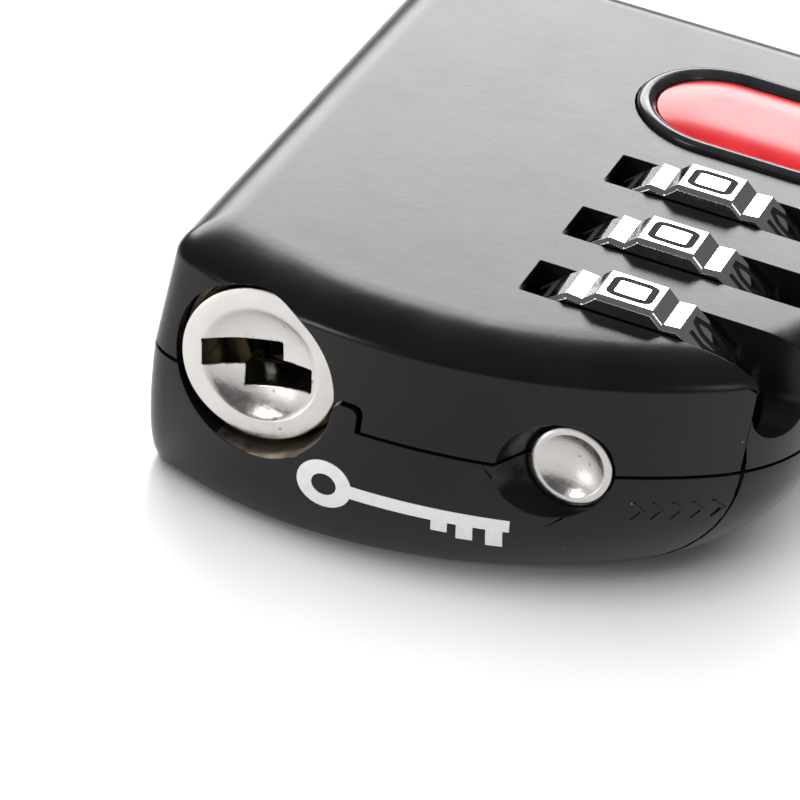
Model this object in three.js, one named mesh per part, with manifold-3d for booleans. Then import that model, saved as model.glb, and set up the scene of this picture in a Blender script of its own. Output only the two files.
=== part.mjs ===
// Luggage combination padlock lying on its back: three numbered dials, a key cylinder, a release
// button and a lift-out shackle. Millimetres. +X towards the dial side, +Y towards the shackle,
// +Z out of the front face. The origin is under the middle of the whole lock, on its resting face.
import * as THREE from 'three';
import { ConvexGeometry } from 'three/addons/geometries/ConvexGeometry.js';
import { mergeVertices } from 'three/addons/utils/BufferGeometryUtils.js';
import Module from 'manifold-3d';

const wasm = await Module();
wasm.setup();

// ---- driving sizes -------------------------------------------------------------------------
const bodyWidth = 31.2;
const bodyLength = 40;
const bodyThickness = 13.7;
const endArcRadius = 26;
const endArcX = -4.4;
const farDip = 0.6;
const faceEdgeInset = 2.2;
const faceEdgeHeight = 1.3;
const backInsetLeft = 0.4;
const backInsetRight = 9;
const backInsetNear = 2.9;
const backInsetFar = 5;
const backEdgeHeight = 7.2;
const sideFlare = 0.3;
const leftDraft = 0.5;

const shackleWire = 3;
const shackleHalfSpan = 10.9;
const shackleClearHeight = 22.5;
const shackleTravel = 8;
const toeDepth = 6;
const heelDepth = 13.8;

const dialRadius = 6.9;
const dialWidth = 2.9;
const dialPitch = 6.15;
const dialCount = 3;
const digitsPerDial = 10;
const firstDialY = 8.6;
const dialAxisX = 5.95;
const slotWidth = 3.1;
const slotLeftX = 0.9;
const slotTipDrop = 1.6;

const plugRadius = 4;
const plugX = -9.35;
const plugFaceY = 1.6;
const plugLength = 14.4;
const plugAboveAxis = 0.88;

const buttonRadius = 2.03;
const buttonFaceY = 3;
const buttonTravel = 1.2;

const badgeLength = 14;
const badgeWidth = 9.2;
const badgeX = 6.4;
const badgeY = 29.7;

// ---- clearances ----------------------------------------------------------------------------
const runFit = 0.05;
const looseFit = 0.1;
const restGap = 0.3;
const partingGap = 0.15;

// ---- derived positions ---------------------------------------------------------------------
const halfWidth = bodyWidth / 2;
const faceZ = bodyThickness;
const axisZ = bodyThickness * 0.57;
const plugZ = axisZ + plugAboveAxis;
const wireRadius = shackleWire / 2;
const crownCentreY = bodyLength + shackleClearHeight - (shackleHalfSpan - wireRadius);
const overallLength = crownCentreY + shackleHalfSpan + wireRadius;
const lastDialY = firstDialY + dialPitch * (dialCount - 1);
const dialY = Array.from({ length: dialCount }, (_, i) => firstDialY + i * dialPitch);

// ---- helpers -------------------------------------------------------------------------------
function solid(geometry) {
  const bare = geometry.index ? geometry.toNonIndexed() : geometry.clone();
  bare.deleteAttribute('normal');
  bare.deleteAttribute('uv');
  const merged = mergeVertices(bare, 1e-4);
  return new wasm.Manifold(new wasm.Mesh({
    numProp: 3,
    vertProperties: new Float32Array(merged.attributes.position.array),
    triVerts: new Uint32Array(merged.index.array),
  }));
}

function meshOf(name, shape, colour, roughness, metalness) {
  const out = shape.getMesh();
  const geometry = new THREE.BufferGeometry();
  geometry.setAttribute('position', new THREE.BufferAttribute(out.vertProperties, 3));
  geometry.setIndex(new THREE.BufferAttribute(out.triVerts, 1));
  geometry.computeVertexNormals();
  const material = new THREE.MeshStandardMaterial({ color: colour, roughness, metalness });
  const mesh = new THREE.Mesh(geometry, material);
  mesh.name = name;
  return mesh;
}

function box(x0, x1, y0, y1, z0, z1) {
  const geometry = new THREE.BoxGeometry(x1 - x0, y1 - y0, z1 - z0);
  geometry.translate((x0 + x1) / 2, (y0 + y1) / 2, (z0 + z1) / 2);
  return solid(geometry);
}

function rodY(radius, y0, y1, x, z, segments = 24, radiusEnd = radius) {
  const geometry = new THREE.CylinderGeometry(radiusEnd, radius, y1 - y0, segments);
  geometry.rotateY(Math.PI / segments);
  geometry.translate(x, (y0 + y1) / 2, z);
  return solid(geometry);
}

function rodX(radius, x0, x1, y, z, segments = 24) {
  const geometry = new THREE.CylinderGeometry(radius, radius, x1 - x0, segments);
  geometry.rotateZ(Math.PI / 2);
  geometry.translate((x0 + x1) / 2, y, z);
  return solid(geometry);
}

function rodZ(radius, z0, z1, x, y, segments = 16) {
  const geometry = new THREE.CylinderGeometry(radius, radius, z1 - z0, segments);
  geometry.rotateX(Math.PI / 2);
  geometry.translate(x, y, (z0 + z1) / 2);
  return solid(geometry);
}

// A closed profile of [radius, distance along Y] points, turned about the Y axis through x, z.
function turnedY(profile, x, z, segments = 32) {
  const points = profile.map(([r, y]) => new THREE.Vector2(r, y));
  points.push(points[0].clone());
  const geometry = new THREE.LatheGeometry(points, segments);
  geometry.translate(x, 0, z);
  const turned = solid(geometry);
  return turned.volume() < 0 ? solid(flipped(geometry)) : turned;
}

function flipped(geometry) {
  const flippedGeometry = geometry.clone();
  flippedGeometry.setIndex(Array.from(geometry.index.array).reverse());
  return flippedGeometry;
}

// A polygon of [x, y] points given a thickness along Z.
function plateZ(points, z0, z1) {
  const shape = new THREE.Shape(points.map(([x, y]) => new THREE.Vector2(x, y)));
  const geometry = new THREE.ExtrudeGeometry(shape, { depth: z1 - z0, bevelEnabled: false });
  geometry.translate(0, 0, z0);
  return solid(geometry);
}

// A polygon of [x, z] points given a length along Y.
function prismY(points, y0, y1) {
  const shape = new THREE.Shape(points.map(([x, z]) => new THREE.Vector2(x, z)));
  const geometry = new THREE.ExtrudeGeometry(shape, { depth: y1 - y0, bevelEnabled: false });
  geometry.rotateX(Math.PI / 2);
  geometry.translate(0, y1, 0);
  return solid(geometry);
}

// A straight run of round wire wound about +Y, from y0 to y1.
class HelixCurve extends THREE.Curve {
  constructor(radius, length, turns) {
    super();
    this.radius = radius;
    this.length = length;
    this.turns = turns;
  }

  getPoint(t, target = new THREE.Vector3()) {
    const angle = 2 * Math.PI * this.turns * t;
    return target.set(this.radius * Math.cos(angle), this.length * t, this.radius * Math.sin(angle));
  }
}

function coil(radius, wire, length, turns) {
  const section = new THREE.Shape();
  for (let i = 0; i < 6; i += 1) {
    const angle = (i / 6) * 2 * Math.PI;
    const x = (wire / 2) * Math.cos(angle);
    const y = (wire / 2) * Math.sin(angle);
    if (i === 0) section.moveTo(x, y);
    else section.lineTo(x, y);
  }
  const path = new HelixCurve(radius, length - wire, turns);
  const steps = Math.round(turns * 10);
  const geometry = new THREE.ExtrudeGeometry(section, { steps, extrudePath: path, bevelEnabled: false });
  geometry.translate(0, wire / 2, 0);
  return geometry;
}

function join(parts) {
  return parts.reduce((sum, part) => sum.add(part));
}

// ---- outline of the body seen from the front ---------------------------------------------------
function arcY(x) {
  return endArcRadius - Math.sqrt(endArcRadius ** 2 - (x - endArcX) ** 2);
}

function arcSlope(x) {
  return (x - endArcX) / Math.sqrt(endArcRadius ** 2 - (x - endArcX) ** 2);
}

function bodyOutline() {
  const shape = new THREE.Shape();
  const leftX = -halfWidth + 1.3;
  const rightX = halfWidth - 3.8;
  const leftCornerY = arcY(leftX) + arcSlope(leftX) * (-halfWidth - leftX);
  const rightCornerY = arcY(rightX) + arcSlope(rightX) * (halfWidth - rightX);
  const farCorner = 4;
  shape.moveTo(-halfWidth, leftCornerY + 1.2);
  shape.quadraticCurveTo(-halfWidth, leftCornerY, leftX, arcY(leftX));
  const arcSteps = 12;
  for (let i = 1; i <= arcSteps; i += 1) {
    const x = leftX + ((rightX - leftX) * i) / arcSteps;
    shape.lineTo(x, arcY(x));
  }
  shape.quadraticCurveTo(halfWidth, rightCornerY, halfWidth, rightCornerY + 4.7);
  shape.lineTo(halfWidth, bodyLength - farCorner);
  shape.quadraticCurveTo(halfWidth, bodyLength, halfWidth - farCorner, bodyLength);
  shape.lineTo(-halfWidth + farCorner, bodyLength);
  shape.quadraticCurveTo(-halfWidth, bodyLength, -halfWidth, bodyLength - farCorner);
  return shape;
}

// Heights of the body's outline, from the boat-shaped back up to the soft front edge, each with
// how far the left, right, near and far sides are drawn in there.
function bodyLevels() {
  const levels = [];
  const backSteps = 7;
  for (let i = 0; i <= backSteps; i += 1) {
    const angle = (Math.PI / 2) * (i / backSteps);
    const share = 1 - Math.sin(angle);
    const insets = [backInsetLeft, backInsetRight, backInsetNear, backInsetFar].map((inset) => inset * share);
    levels.push([backEdgeHeight * (1 - Math.cos(angle)), insets]);
  }
  const frontSteps = 5;
  for (let i = 0; i <= frontSteps; i += 1) {
    const angle = (Math.PI / 2) * (i / frontSteps);
    const inset = faceEdgeInset * (1 - Math.cos(angle));
    levels.push([faceZ - faceEdgeHeight * (1 - Math.sin(angle)), [inset + leftDraft, inset, inset, inset]]);
  }
  return levels;
}

// The whole body before it is divided, with a shallow dip across its far end.
function bodyBlank() {
  const outline = bodyOutline().getPoints(6);
  const points = [];
  for (const [z, [left, right, near, far]] of bodyLevels()) {
    for (const p of outline) {
      const flare = 1 - (sideFlare / halfWidth) * (1 - p.y / bodyLength);
      const shareX = (p.x * flare + halfWidth) / bodyWidth;
      const shareY = p.y / bodyLength;
      const x = -halfWidth + left + shareX * (bodyWidth - left - right);
      const y = near + shareY * (bodyLength - near - far);
      points.push(new THREE.Vector3(x, y, z));
    }
  }
  const dipHalf = halfWidth - 4;
  const dip = [[dipHalf + 1, bodyLength + 3]];
  for (let i = 0; i <= 10; i += 1) {
    const x = dipHalf - (2 * dipHalf * i) / 10;
    dip.push([x, bodyLength + 0.01 - (farDip * (1 + Math.cos((Math.PI * x) / dipHalf))) / 2]);
  }
  dip.push([-dipHalf - 1, bodyLength + 3]);
  return solid(new ConvexGeometry(points)).subtract(plateZ(dip, -1, faceZ + 1));
}

// ---- mechanism sizes shared by pieces and their pockets ------------------------------------------
const sleeveRadius = dialRadius * 0.49;
const sleeveLength = dialPitch - restGap;
const sleeveStartOffset = -dialWidth / 2 - 0.1;
const spindleRadius = 1.1;
const finRadius = 2.2;
const finWidth = 0.8;
const springChamberRadius = 2.05;
const springSeatY = lastDialY + sleeveStartOffset + sleeveLength + 3.5;
const latchTravel = buttonTravel;
const latchZ0 = axisZ - 0.75;
const latchZ1 = axisZ + 0.75;
const latchTopY = bodyLength - 3.1;
const latchLowY = latchTopY - 2.6;
const latchArmX0 = plugX + 2.6;
const latchArmX1 = latchArmX0 + 1.2;
const latchRightX = dialAxisX + 1.6;
const latchArmLowY = latchTopY - 12.4;
const rampSum = latchRightX + latchLowY - 4.1;
const toeX = -shackleHalfSpan;
const heelX = shackleHalfSpan;
const toeEndY = bodyLength - toeDepth;
const heelEndY = bodyLength - heelDepth;
const clipRadius = 1.9;
const clipY = heelEndY + 0.6;
const clipThickness = 0.5;
const boreRadius = wireRadius + looseFit;
const plugEndY = plugFaceY + plugLength;
const sleeveWall = 0.25;
const cylinderInner = plugRadius + runFit;
const cylinderOuter = cylinderInner + sleeveWall;
const cylinderBore = cylinderOuter + 0.06;
const cylinderFrontY = plugFaceY + 1.3;
const camY0 = plugEndY + looseFit;
const camY1 = camY0 + 1;
const camBarRadius = 0.4;
const camBarOffset = 2;
const camBarEndY = latchArmLowY + 5.5;
const noseY0 = latchLowY + 0.9;
const noseY1 = noseY0 + 1.2;
const ballRadius = 0.8;

function rivetSpots() {
  return [
    [-3.1, firstDialY - 2],
    [-3.1, lastDialY],
    [1.4, lastDialY + 7],
    [latchArmX0 - 1.4, latchLowY - 1.7],
  ];
}

// ---- pockets common to both covers ----------------------------------------------------------------
function dialPockets() {
  const parts = [];
  for (const y of dialY) {
    const pocketRadius = dialRadius + 0.35;
    parts.push(rodY(pocketRadius, y - slotWidth / 2, y + slotWidth / 2, dialAxisX, axisZ, 40));
    const mouthZ = axisZ + slotTipDrop + slotWidth / 2;
    parts.push(box(slotLeftX, halfWidth + 2, y - slotWidth / 2, y + slotWidth / 2, mouthZ, faceZ + 2));
    parts.push(rodX(slotWidth / 2, dialAxisX + 2, halfWidth + 2, y, mouthZ, 20));
  }
  const sleeveEnd = lastDialY + sleeveStartOffset + sleeveLength;
  parts.push(rodY(sleeveRadius + 0.2, firstDialY - slotWidth / 2 - 0.1, sleeveEnd + 0.2, dialAxisX, axisZ, 32));
  return join(parts);
}

function buttonPockets() {
  const wallY = arcY(dialAxisX);
  const flangeY0 = buttonFaceY + 1.5;
  const flangeY1 = flangeY0 + 0.8 + buttonTravel + 0.5;
  return join([
    rodY(buttonRadius + 0.08, wallY - 3, flangeY0 + 0.5, dialAxisX, axisZ, 32),
    rodY(3.7, wallY - 2.4, buttonFaceY + 0.2, dialAxisX, axisZ, 32, buttonRadius + 0.1),
    rodY(2.9, flangeY0, flangeY1, dialAxisX, axisZ, 28),
    rodY(spindleRadius + runFit + 0.02, flangeY1 - 0.5, firstDialY, dialAxisX, axisZ, 20),
  ]);
}

function spindlePockets() {
  const start = lastDialY + sleeveStartOffset + sleeveLength;
  return join([
    rodY(springChamberRadius, start, springSeatY, dialAxisX, axisZ, 24),
    rodY(spindleRadius + runFit + 0.02, springSeatY - 0.5, latchLowY + 1, dialAxisX, axisZ, 20),
  ]);
}

function plugPockets() {
  return join([
    rodY(cylinderBore, -6, camY1 + 1.1, plugX, plugZ, 40),
    rodY(camBarOffset + camBarRadius + 0.25, camY1 + 1, camBarEndY + restGap, plugX, plugZ, 24),
  ]);
}

function latchPockets() {
  const z0 = latchZ0 - 0.15;
  const z1 = latchZ1 + 0.15;
  const right = latchRightX + latchTravel + 0.15;
  return join([
    box(latchArmX0 - 0.15, latchArmX1 + latchTravel + 0.1, latchArmLowY - 0.2, latchTopY + 0.2, z0, z1),
    box(latchArmX0 - 0.15, right, latchLowY - 0.15, latchTopY + 0.2, z0, z1),
    box(rampSum - latchLowY - 0.3, right, rampSum - latchRightX - 0.4, latchLowY, z0, z1),
    box(toeX, latchArmX0 + 1, noseY0 - 0.15, noseY1 + 0.15, z0, z1),
    box(latchArmX1, latchArmX1 + 4, latchArmLowY + 2.2, latchArmLowY + 4.8, axisZ - 1.3, axisZ + 1.3),
  ]);
}

function shacklePockets() {
  const clipTop = clipY + clipThickness + shackleTravel;
  return join([
    rodY(boreRadius, heelEndY - restGap, bodyLength + 3, heelX, axisZ, 24),
    rodY(boreRadius, toeEndY - restGap, bodyLength + 3, toeX, axisZ, 24),
    rodY(clipRadius + 0.1, clipY - 0.4, clipTop + 0.1, heelX, axisZ, 24),
  ]);
}

function badgePocket() {
  return capsule(badgeLength / 2 + 0.1, badgeWidth / 2 + 0.1, badgeX, badgeY, faceZ - 0.8, faceZ + 3);
}

function capsule(halfLength, radius, x, y, z0, z1, segments = 10) {
  const points = [];
  const straight = halfLength - radius;
  for (let i = 0; i <= segments; i += 1) {
    const angle = -Math.PI / 2 + (Math.PI * i) / segments;
    points.push([x + straight + radius * Math.cos(angle), y + radius * Math.sin(angle)]);
  }
  for (let i = 0; i <= segments; i += 1) {
    const angle = Math.PI / 2 + (Math.PI * i) / segments;
    points.push([x - straight + radius * Math.cos(angle), y + radius * Math.sin(angle)]);
  }
  return plateZ(points, z0, z1);
}

function detentHoles() {
  return dialY.map((y) => {
    const top = axisZ - sleeveRadius - 0.05;
    return rodZ(ballRadius + runFit, 1.2, top, dialAxisX, detentY(y), 16);
  });
}

function detentY(y) {
  return y + dialPitch / 2;
}

function rivetHoles() {
  return rivetSpots().map(([x, y]) => rodZ(0.85, -1, faceZ - 1.4, x, y, 16).add(rodZ(1.55, -1, 0.75, x, y, 16)));
}

// ---- the two covers ----------------------------------------------------------------------------------
// The parting line drops a little to the left; a small tab of the rear cover stands beside the plug.
function partingPolygon(shift, upward) {
  const leftZ = axisZ - 0.5 + shift;
  const rightZ = axisZ + 0.02 + shift;
  const far = upward ? 30 : -30;
  return [[-30, far], [-30, leftZ], [-halfWidth + 1.5, leftZ], [plugX + 5, rightZ], [30, rightZ], [30, far]];
}

function tab(grow) {
  const x0 = plugX + cylinderBore - 0.4;
  const x1 = plugX + 5.6 + grow;
  const top = plugZ + 0.3 + grow;
  const mid = (x1 + plugX + cylinderBore) / 2;
  const points = [[x0, axisZ - 1], [x1, axisZ - 1], [x1, top - 0.4], [x1 - 0.3, top], [mid - 0.3, top], [x0, top - 0.6]];
  return prismY(points, -3, firstDialY - 6 + grow);
}

function coverVoids() {
  return join([
    dialPockets(),
    buttonPockets(),
    spindlePockets(),
    plugPockets(),
    latchPockets(),
    shacklePockets(),
    badgePocket(),
    ...detentHoles(),
    ...rivetHoles(),
  ]);
}

const blank = bodyBlank();
const voids = coverVoids();
const upperRegion = prismY(partingPolygon(partingGap / 2, true), -20, 90);
const lowerRegion = prismY(partingPolygon(-partingGap / 2, false), -20, 90);
const frontCover = blank.intersect(upperRegion).subtract(tab(partingGap)).subtract(voids);
const rearCover = blank.intersect(lowerRegion.add(tab(0))).subtract(voids);

// ---- rivets -------------------------------------------------------------------------------------------
function rivet([x, y]) {
  return rodZ(0.8, 0.15, faceZ - 1.6, x, y, 12).add(rodZ(1.45, 0.1, 0.65, x, y, 16));
}

// ---- dials and clutch sleeves --------------------------------------------------------------------------
// Ten flat number pads round the rim with a shallow V groove between each pair.
function dialSolid() {
  const shape = new THREE.Shape();
  const halfPad = THREE.MathUtils.degToRad(11.75);
  const step = (2 * Math.PI) / digitsPerDial;
  const grooveRadius = dialRadius - 0.36;
  for (let i = 0; i < digitsPerDial; i += 1) {
    const centre = Math.PI / 2 - i * step;
    const corners = [[dialRadius, centre + halfPad], [dialRadius, centre - halfPad], [grooveRadius, centre - step / 2]];
    for (const [r, a] of corners) {
      if (i === 0 && a === centre + halfPad) shape.moveTo(r * Math.cos(a), r * Math.sin(a));
      else shape.lineTo(r * Math.cos(a), r * Math.sin(a));
    }
  }
  shape.closePath();
  const bevel = 0.2;
  const geometry = new THREE.ExtrudeGeometry(shape, {
    depth: dialWidth - 2 * bevel,
    bevelEnabled: true,
    bevelSegments: 1,
    bevelSize: bevel,
    bevelOffset: -bevel,
    bevelThickness: bevel,
  });
  geometry.rotateX(Math.PI / 2);
  geometry.translate(0, dialWidth / 2 - bevel, 0);
  return solid(geometry).subtract(rodY(sleeveRadius + 0.06, -dialWidth, dialWidth, 0, 0, 40));
}

// A hub that carries its dial, with detent flutes beside the dial and a gate for the spindle's fin.
function sleeveSolid() {
  const y0 = sleeveStartOffset;
  const y1 = sleeveStartOffset + sleeveLength;
  const hub = rodY(sleeveRadius, y0, y1, 0, 0, 40);
  const flutes = [];
  for (let i = 0; i < digitsPerDial; i += 1) {
    const angle = -Math.PI / 2 + (2 * Math.PI * i) / digitsPerDial;
    const r = sleeveRadius + 0.35;
    const flute = rodY(0.7, dialWidth / 2 + 0.3, y1 + 1, r * Math.cos(angle), r * Math.sin(angle), 8);
    flutes.push(flute);
  }
  const roomY = y0 + finWidth + buttonTravel + 0.5;
  const gate = box(-0.55, 0.55, -5, 10, -finRadius - 0.15, 0);
  return hub
    .subtract(join(flutes))
    .subtract(rodY(spindleRadius + looseFit, -5, 10, 0, 0, 20))
    .subtract(rodY(finRadius + 0.15, y0 - 1, roomY, 0, 0, 24))
    .subtract(gate);
}

// ---- release button and its spindle ---------------------------------------------------------------------
function buttonSolid() {
  const dish = buttonRadius * 0.72;
  const back = buttonFaceY + 2.35;
  const socketY = back - 1.2;
  return turnedY([
    [0, buttonFaceY + 0.36],
    [dish * 0.5, buttonFaceY + 0.27],
    [dish, buttonFaceY],
    [buttonRadius - 0.14, buttonFaceY],
    [buttonRadius, buttonFaceY + 0.14],
    [buttonRadius, buttonFaceY + 1.6],
    [2.7, buttonFaceY + 1.6],
    [2.7, back],
    [spindleRadius + runFit, back],
    [spindleRadius + runFit, socketY],
    [0, socketY],
  ], dialAxisX, axisZ, 32);
}

function spindleSolid() {
  const tipY = latchLowY - 1.54;
  const start = buttonFaceY + 1.25;
  const bar = rodY(spindleRadius, start, tipY, dialAxisX, axisZ, 20);
  const parts = [bar];
  for (const y of dialY) {
    const finY = y + sleeveStartOffset + 0.2;
    const fin = box(dialAxisX - 0.4, dialAxisX + 0.4, finY, finY + finWidth, axisZ - finRadius, axisZ);
    parts.push(fin);
  }
  const collarY = lastDialY + sleeveStartOffset + sleeveLength + 0.35;
  parts.push(rodY(1.85, collarY, collarY + 0.5, dialAxisX, axisZ, 20));
  const limit = rampSum - 0.14;
  const chamfer = plateZ([
    [dialAxisX - 4, limit - dialAxisX + 4],
    [dialAxisX + 4, limit - dialAxisX - 4],
    [dialAxisX + 4, limit - dialAxisX + 9],
    [dialAxisX - 4, limit - dialAxisX + 9],
  ], axisZ - 3, axisZ + 3);
  return join(parts).subtract(chamfer);
}

function buttonSpringSolid() {
  const y0 = lastDialY + sleeveStartOffset + sleeveLength + 0.9;
  const geometry = coil(1.6, 0.36, springSeatY - y0 - 0.05, 4);
  geometry.translate(dialAxisX, y0, axisZ);
  return solid(geometry);
}

// ---- detents -----------------------------------------------------------------------------------------------
function detentBall() {
  return solid(new THREE.SphereGeometry(ballRadius, 12, 8));
}

const ballZ = axisZ - sleeveRadius - ballRadius - 0.03;

function detentSpring() {
  const geometry = coil(0.5, 0.22, ballZ - ballRadius - 1.3, 3);
  geometry.rotateX(Math.PI / 2);
  return solid(geometry);
}

// ---- latch and its spring ------------------------------------------------------------------------------------
function latchSolid() {
  const noseTip = toeX + wireRadius + 0.1;
  return plateZ([
    [latchArmX0, latchArmLowY],
    [latchArmX1, latchArmLowY],
    [latchArmX1, latchLowY],
    [rampSum - latchLowY, latchLowY],
    [latchRightX, rampSum - latchRightX],
    [latchRightX, latchTopY],
    [latchArmX0, latchTopY],
    [latchArmX0, noseY1],
    [noseTip + 0.4, noseY1],
    [noseTip, noseY1 - 0.4],
    [noseTip, noseY0],
    [latchArmX0, noseY0],
  ], latchZ0, latchZ1);
}

function latchSpringSolid() {
  const geometry = coil(0.95, 0.28, 3.8, 4);
  geometry.rotateZ(-Math.PI / 2);
  geometry.translate(latchArmX1 + 0.1, latchArmLowY + 3.5, axisZ);
  return solid(geometry);
}

// ---- shackle ---------------------------------------------------------------------------------------------------
class BowCurve extends THREE.Curve {
  getPoint(t, target = new THREE.Vector3()) {
    const angle = Math.PI * t;
    return target.set(shackleHalfSpan * Math.cos(angle), shackleHalfSpan * Math.sin(angle), 0);
  }
}

function shackleSolid() {
  const section = new THREE.Shape();
  const sides = 16;
  for (let i = 0; i < sides; i += 1) {
    const angle = ((i + 0.5) / sides) * 2 * Math.PI;
    const x = wireRadius * Math.cos(angle);
    const y = wireRadius * Math.sin(angle);
    if (i === 0) section.moveTo(x, y);
    else section.lineTo(x, y);
  }
  const bow = new THREE.ExtrudeGeometry(section, { steps: 24, extrudePath: new BowCurve(), bevelEnabled: false });
  bow.translate(0, crownCentreY, axisZ);
  const toeTip = 0.5;
  const legs = [
    rodY(wireRadius, heelEndY, crownCentreY + 0.01, heelX, axisZ, sides),
    rodY(wireRadius, toeEndY + toeTip, crownCentreY + 0.01, toeX, axisZ, sides),
    rodY(wireRadius - toeTip, toeEndY, toeEndY + toeTip, toeX, axisZ, sides, wireRadius),
  ];
  const notchX = toeX + wireRadius - 0.75;
  const notch = box(notchX, 0, noseY0 - 0.2, noseY1 + 0.2, axisZ - 3, axisZ + 3);
  const grooveY0 = clipY - 0.05;
  const grooveY1 = clipY + clipThickness + 0.05;
  const groove = rodY(wireRadius + 1, grooveY0, grooveY1, heelX, axisZ, sides)
    .subtract(rodY(1.05, grooveY0 - 1, grooveY1 + 1, heelX, axisZ, sides));
  return join([solid(bow), ...legs]).subtract(notch).subtract(groove);
}

function shackleClipSolid() {
  const ring = rodY(clipRadius, clipY, clipY + clipThickness, heelX, axisZ, 20);
  const bore = rodY(1.12, clipY - 1, clipY + 1, heelX, axisZ, 20);
  const mouth = box(heelX - 0.75, heelX + 0.75, clipY - 1, clipY + 1, axisZ - 3, axisZ);
  return ring.subtract(bore).subtract(mouth);
}

// ---- key cylinder --------------------------------------------------------------------------------------------------
// The keyway is a stepped Z: an upper bar to the left and a lower bar to the right, both tilted.
function keyway(y0, y1) {
  const points = [
    [-2.95, 0.72], [-2.95, -0.62], [-0.95, -0.42], [-0.95, -1.5],
    [2.55, -1.02], [2.55, 0.12], [0.95, 0.12], [0.95, 1.12],
  ];
  return prismY(points, y0, y1).rotate([0, -7, 0]);
}

const waferY = [0, 1, 2, 3].map((i) => plugFaceY + 3 + i * 2.2);
const waferThickness = 0.6;

function plugSolid() {
  const dish = plugRadius * 0.75;
  const body = turnedY([
    [0, plugFaceY + 0.55],
    [dish * 0.4, plugFaceY + 0.47],
    [dish * 0.75, plugFaceY + 0.24],
    [dish, plugFaceY],
    [plugRadius - 0.15, plugFaceY],
    [plugRadius, plugFaceY + 0.15],
    [plugRadius, plugEndY],
    [0.75, plugEndY],
    [0.75, plugEndY - 2.4],
    [0, plugEndY - 2.4],
  ], 0, 0, 36);
  const slots = waferY.map((y) => box(-2.6, 2.6, y - 0.1, y + waferThickness + 0.1, -5, 5));
  return body.subtract(keyway(plugFaceY - 1, plugEndY - 3)).subtract(join(slots));
}

function waferSolid(index) {
  const y0 = waferY[index];
  const y1 = y0 + waferThickness;
  const blankWafer = box(-2.5, 2.5, y0, y1, -5, 5).intersect(rodY(plugRadius - 0.15, y0 - 1, y1 + 1, 0, 0, 24));
  const lift = (index % 2) * 0.35 - 0.2;
  return blankWafer.subtract(box(-1.9, 1.6, y0 - 1, y1 + 1, -1.6 + lift, 1.25 + lift));
}

function cylinderSleeveSolid() {
  const endY = plugEndY - 0.1;
  return turnedY([
    [cylinderInner, cylinderFrontY],
    [cylinderOuter, cylinderFrontY],
    [cylinderOuter, endY],
    [cylinderInner, endY],
  ], plugX, plugZ, 40);
}

function camSolid() {
  const disc = rodY(plugRadius + 0.25, camY0, camY1, 0, 0, 28);
  const bar = rodY(camBarRadius, camY1 - 0.5, camBarEndY, 0, -camBarOffset, 10);
  return disc.add(bar).subtract(rodY(0.75, camY0 - 1, camY1 + 1, 0, 0, 16));
}

function camScrewSolid() {
  const head = rodY(1.2, camY1 + runFit, camY1 + 0.75, 0, 0, 20);
  const shank = rodY(0.68, plugEndY - 2.2, camY1 + 0.3, 0, 0, 16);
  const slot = box(-2, 2, camY1 + 0.5, camY1 + 2, -0.2, 0.2);
  return head.add(shank).subtract(slot);
}

// ---- badge --------------------------------------------------------------------------------------------------------------
function bezelSolid() {
  const outer = capsule(badgeLength / 2, badgeWidth / 2, badgeX, badgeY, faceZ - 0.75, faceZ + 0.35);
  const inner = capsule(badgeLength / 2 - 0.9, badgeWidth / 2 - 0.9, badgeX, badgeY, faceZ - 0.35, faceZ + 2);
  return outer.subtract(inner);
}

function insertSolid() {
  const half = badgeLength / 2 - 1;
  const radius = badgeWidth / 2 - 1;
  const base = capsule(half, radius, badgeX, badgeY, faceZ - 0.3, faceZ);
  const dome = capsule(half - 0.9, radius - 0.9, badgeX, badgeY, faceZ - 0.1, faceZ + 0.25);
  return base.add(dome);
}

// ---- assembly ------------------------------------------------------------------------------------------------------------
const BLACK = 0x232022;
const NICKEL = 0xc9c5bd;
const CHROME = 0xd6d6d8;
const STEEL = 0xb4b6ba;
const ZINC = 0x8f9094;
const BRASS = 0xa88a5c;

const lock = new THREE.Group();
lock.name = 'luggage_combination_padlock';
lock.position.set(0, -overallLength / 2, 0);

lock.add(meshOf('front_cover', frontCover, BLACK, 0.45, 0.2));
lock.add(meshOf('rear_cover', rearCover, BLACK, 0.45, 0.2));
rivetSpots().forEach((spot, i) => lock.add(meshOf(`cover_rivet_${i + 1}`, rivet(spot), ZINC, 0.5, 0.8)));

for (let i = 0; i < dialCount; i += 1) {
  const dialGroup = new THREE.Group();
  dialGroup.position.set(dialAxisX, dialY[i], axisZ);
  dialGroup.add(meshOf(`dial_${i + 1}`, dialSolid(), CHROME, 0.15, 1));
  dialGroup.add(meshOf(`clutch_sleeve_${i + 1}`, sleeveSolid(), BRASS, 0.4, 0.9));
  lock.add(dialGroup);
  const ball = meshOf(`detent_ball_${i + 1}`, detentBall(), STEEL, 0.2, 1);
  ball.position.set(dialAxisX, detentY(dialY[i]), ballZ);
  lock.add(ball);
  const spring = meshOf(`detent_spring_${i + 1}`, detentSpring(), STEEL, 0.3, 1);
  spring.position.set(dialAxisX, detentY(dialY[i]), 1.25);
  lock.add(spring);
}

lock.add(meshOf('release_button', buttonSolid(), NICKEL, 0.25, 1));
lock.add(meshOf('dial_spindle', spindleSolid(), STEEL, 0.3, 1));
lock.add(meshOf('button_spring', buttonSpringSolid(), STEEL, 0.3, 1));
lock.add(meshOf('latch', latchSolid(), STEEL, 0.4, 1));
lock.add(meshOf('latch_spring', latchSpringSolid(), STEEL, 0.3, 1));
lock.add(meshOf('shackle', shackleSolid(), CHROME, 0.12, 1));
lock.add(meshOf('shackle_clip', shackleClipSolid(), STEEL, 0.35, 1));
lock.add(meshOf('cylinder_sleeve', cylinderSleeveSolid(), BRASS, 0.5, 0.8));

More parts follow.
